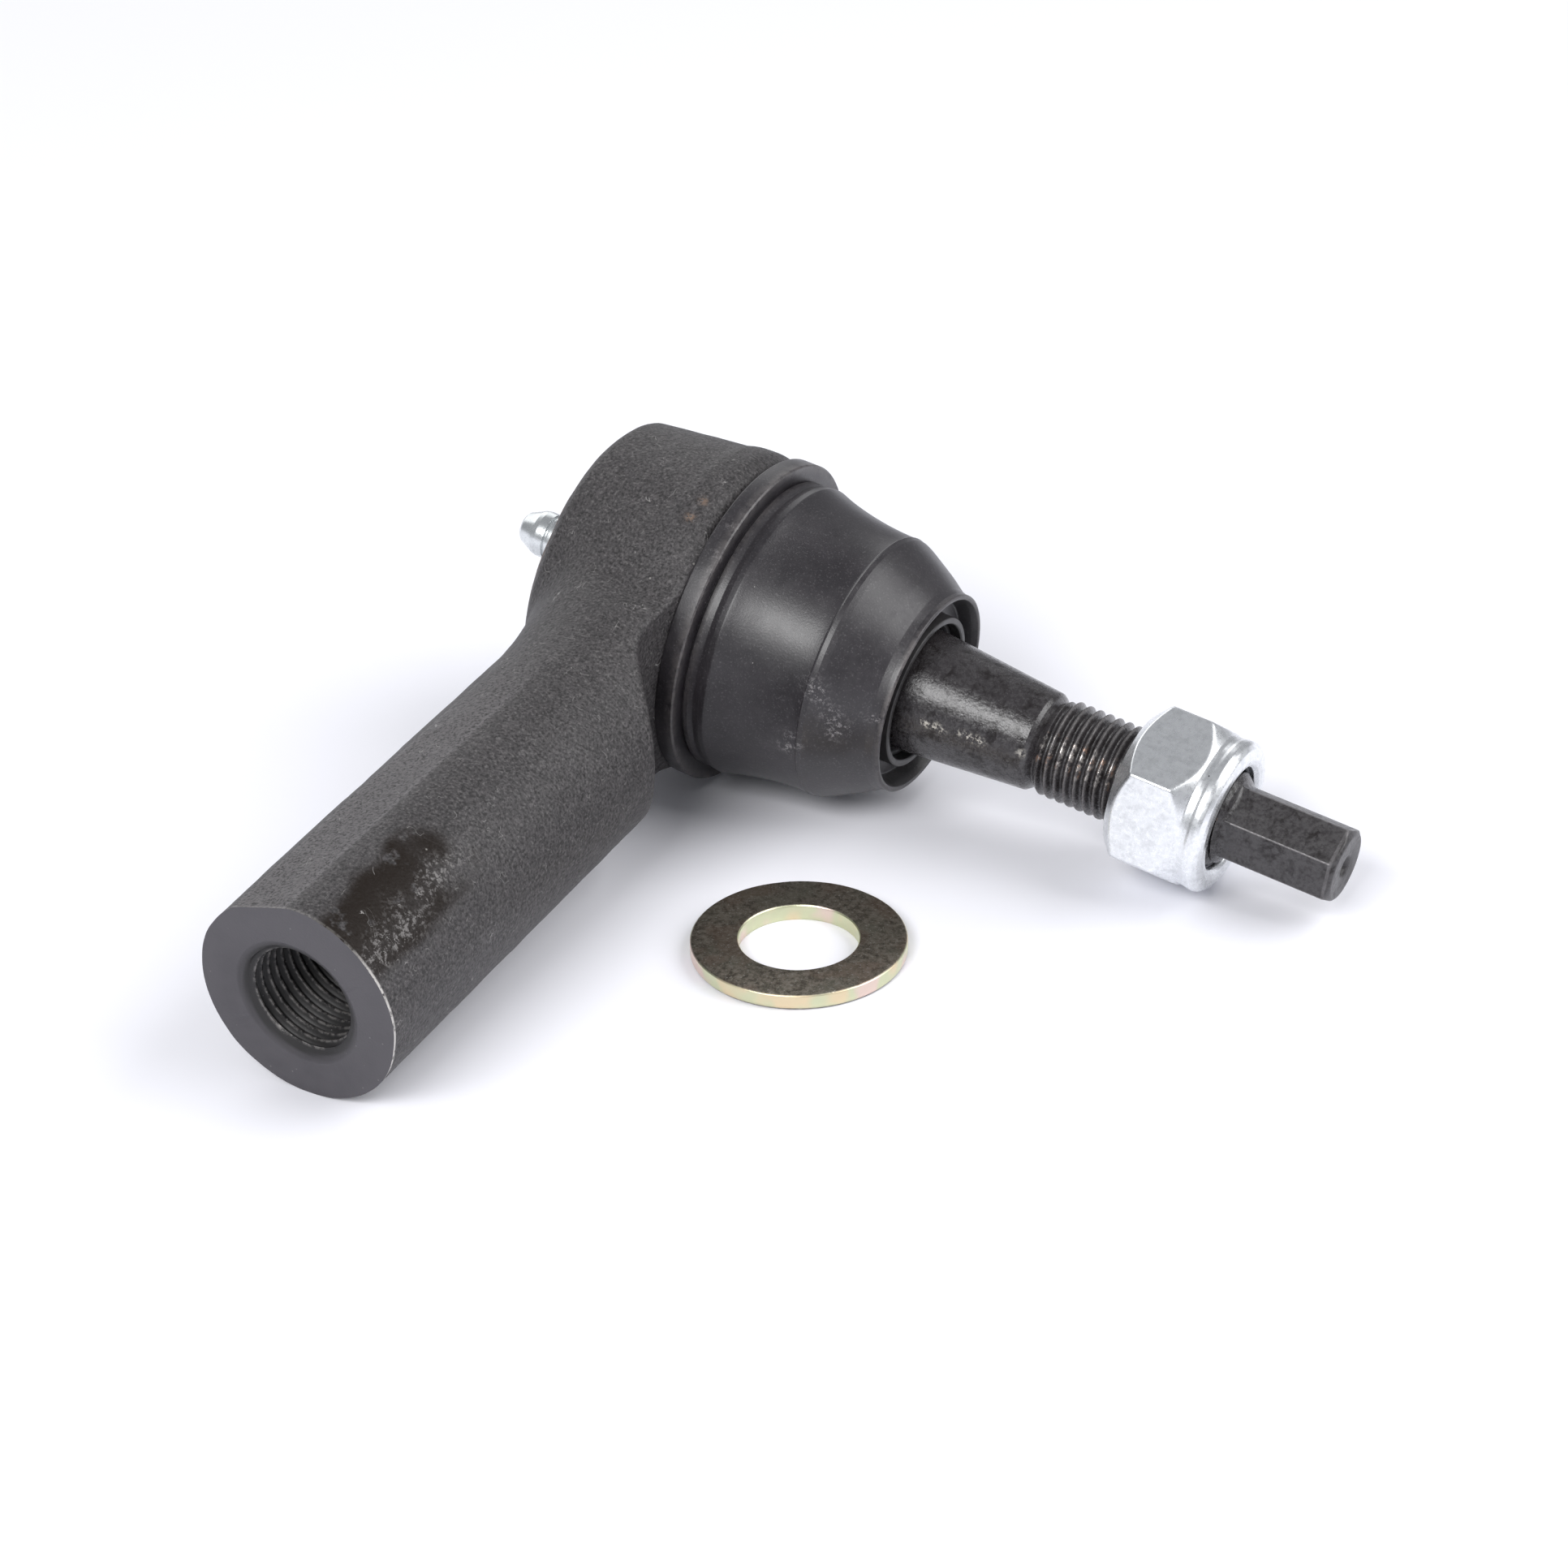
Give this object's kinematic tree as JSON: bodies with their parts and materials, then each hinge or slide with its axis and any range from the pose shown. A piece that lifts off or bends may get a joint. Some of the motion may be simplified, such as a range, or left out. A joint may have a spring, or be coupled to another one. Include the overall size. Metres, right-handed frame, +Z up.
{
  "type": "tie rod end",
  "caption": "Outer tie rod end: forged socket with a threaded arm, tapered ball stud, dust boot, lock nut, grease fitting and a loose washer.",
  "frame": {"origin": "centre of the footprint, on the surface that the joint lies on", "axes": "+Z up from the surface, +X level and on the side that the stud points to, arm towards -Y"},
  "size_m": [0.1298, 0.1265, 0.0481],
  "materials": {
    "forging": "dark phosphate, blasted grain, matte",
    "stud_steel": "black oxide, oiled",
    "zinc": "bright zinc",
    "yellow_zinc": "yellow passivated zinc, blotched",
    "boot_rubber": "satin black rubber",
    "ring_steel": "black coated",
    "nylon": "dark blue nylon",
    "bearing_plastic": "acetal",
    "spring_steel": "spring steel",
    "brass": "turned"
  },
  "bodies": {
    "socket": {"housing": "forging", "front_race": "bearing_plastic", "preload_spring": "spring_steel", "spring_shim": "spring_steel", "rear_cover": "forging", "cover_seal": "boot_rubber", "grease_fitting": "zinc", "fitting_spring": "spring_steel", "fitting_retainer": "brass", "boot_clamp_ring": "ring_steel"},
    "seat": {"rear_seat": "bearing_plastic"},
    "check_ball": {"fitting_ball": "spring_steel"},
    "boot": {"dust_boot": "boot_rubber"},
    "boot_mouth": {"boot_mouth_ring": "ring_steel", "boot_seal_lip": "boot_rubber"},
    "stud": {"ball_stud": "stud_steel"},
    "nut_carrier": {"nylon_insert": "nylon"},
    "lock_nut": {"nut": "zinc"},
    "loose_washer": {"washer": "yellow_zinc"}
  },
  "joints": [
    {"name": "stud_swing", "type": "hinge", "parent": "socket", "child": "boot", "pos_m": [-0.03161, 0.03961, 0.02425], "axis": [0.1599, -0.1002, 0.982], "range_deg": [-18, 18], "deforming": ["dust_boot"]},
    {"name": "stud_rock", "type": "hinge", "parent": "boot", "child": "boot_mouth", "pos_m": [-0.03161, 0.03961, 0.02425], "axis": [0.0161, 0.995, 0.0989], "range_deg": [-18, 18], "deforming": ["dust_boot"]},
    {"name": "stud_spin", "type": "hinge", "parent": "boot_mouth", "child": "stud", "pos_m": [-0.03161, 0.03961, 0.02425], "axis": [0.987, 0, -0.1607], "continuous": true},
    {"name": "nut_travel", "type": "slide", "parent": "stud", "child": "nut_carrier", "axis": [0.987, 0, -0.1607], "range_m": [-0.012, 0.018]},
    {"name": "nut_turn", "type": "hinge", "parent": "nut_carrier", "child": "lock_nut", "pos_m": [0.03748, 0.03961, 0.013], "axis": [0.987, 0, -0.1607], "range_deg": [-2880, 4320]},
    {"name": "seat_retreat", "type": "slide", "parent": "socket", "child": "seat", "axis": [0.987, 0, -0.1607], "range_m": [-0.0003, 0], "stiffness_N_per_m": 5000, "deforming": ["preload_spring"]},
    {"name": "check_ball_lift", "type": "slide", "parent": "socket", "child": "check_ball", "axis": [0.987, 0, -0.1607], "range_m": [0, 0.0008], "stiffness_N_per_m": 100, "deforming": ["fitting_spring"]},
    {"name": "washer_lift", "type": "slide", "parent": "socket", "child": "loose_washer", "axis": [0, 0, 1], "range_m": [0, 0.03]}
  ],
  "couplings": [
    {"joint": "nut_turn", "follows": "nut_travel", "rad_per_m": 4188.8}
  ]
}
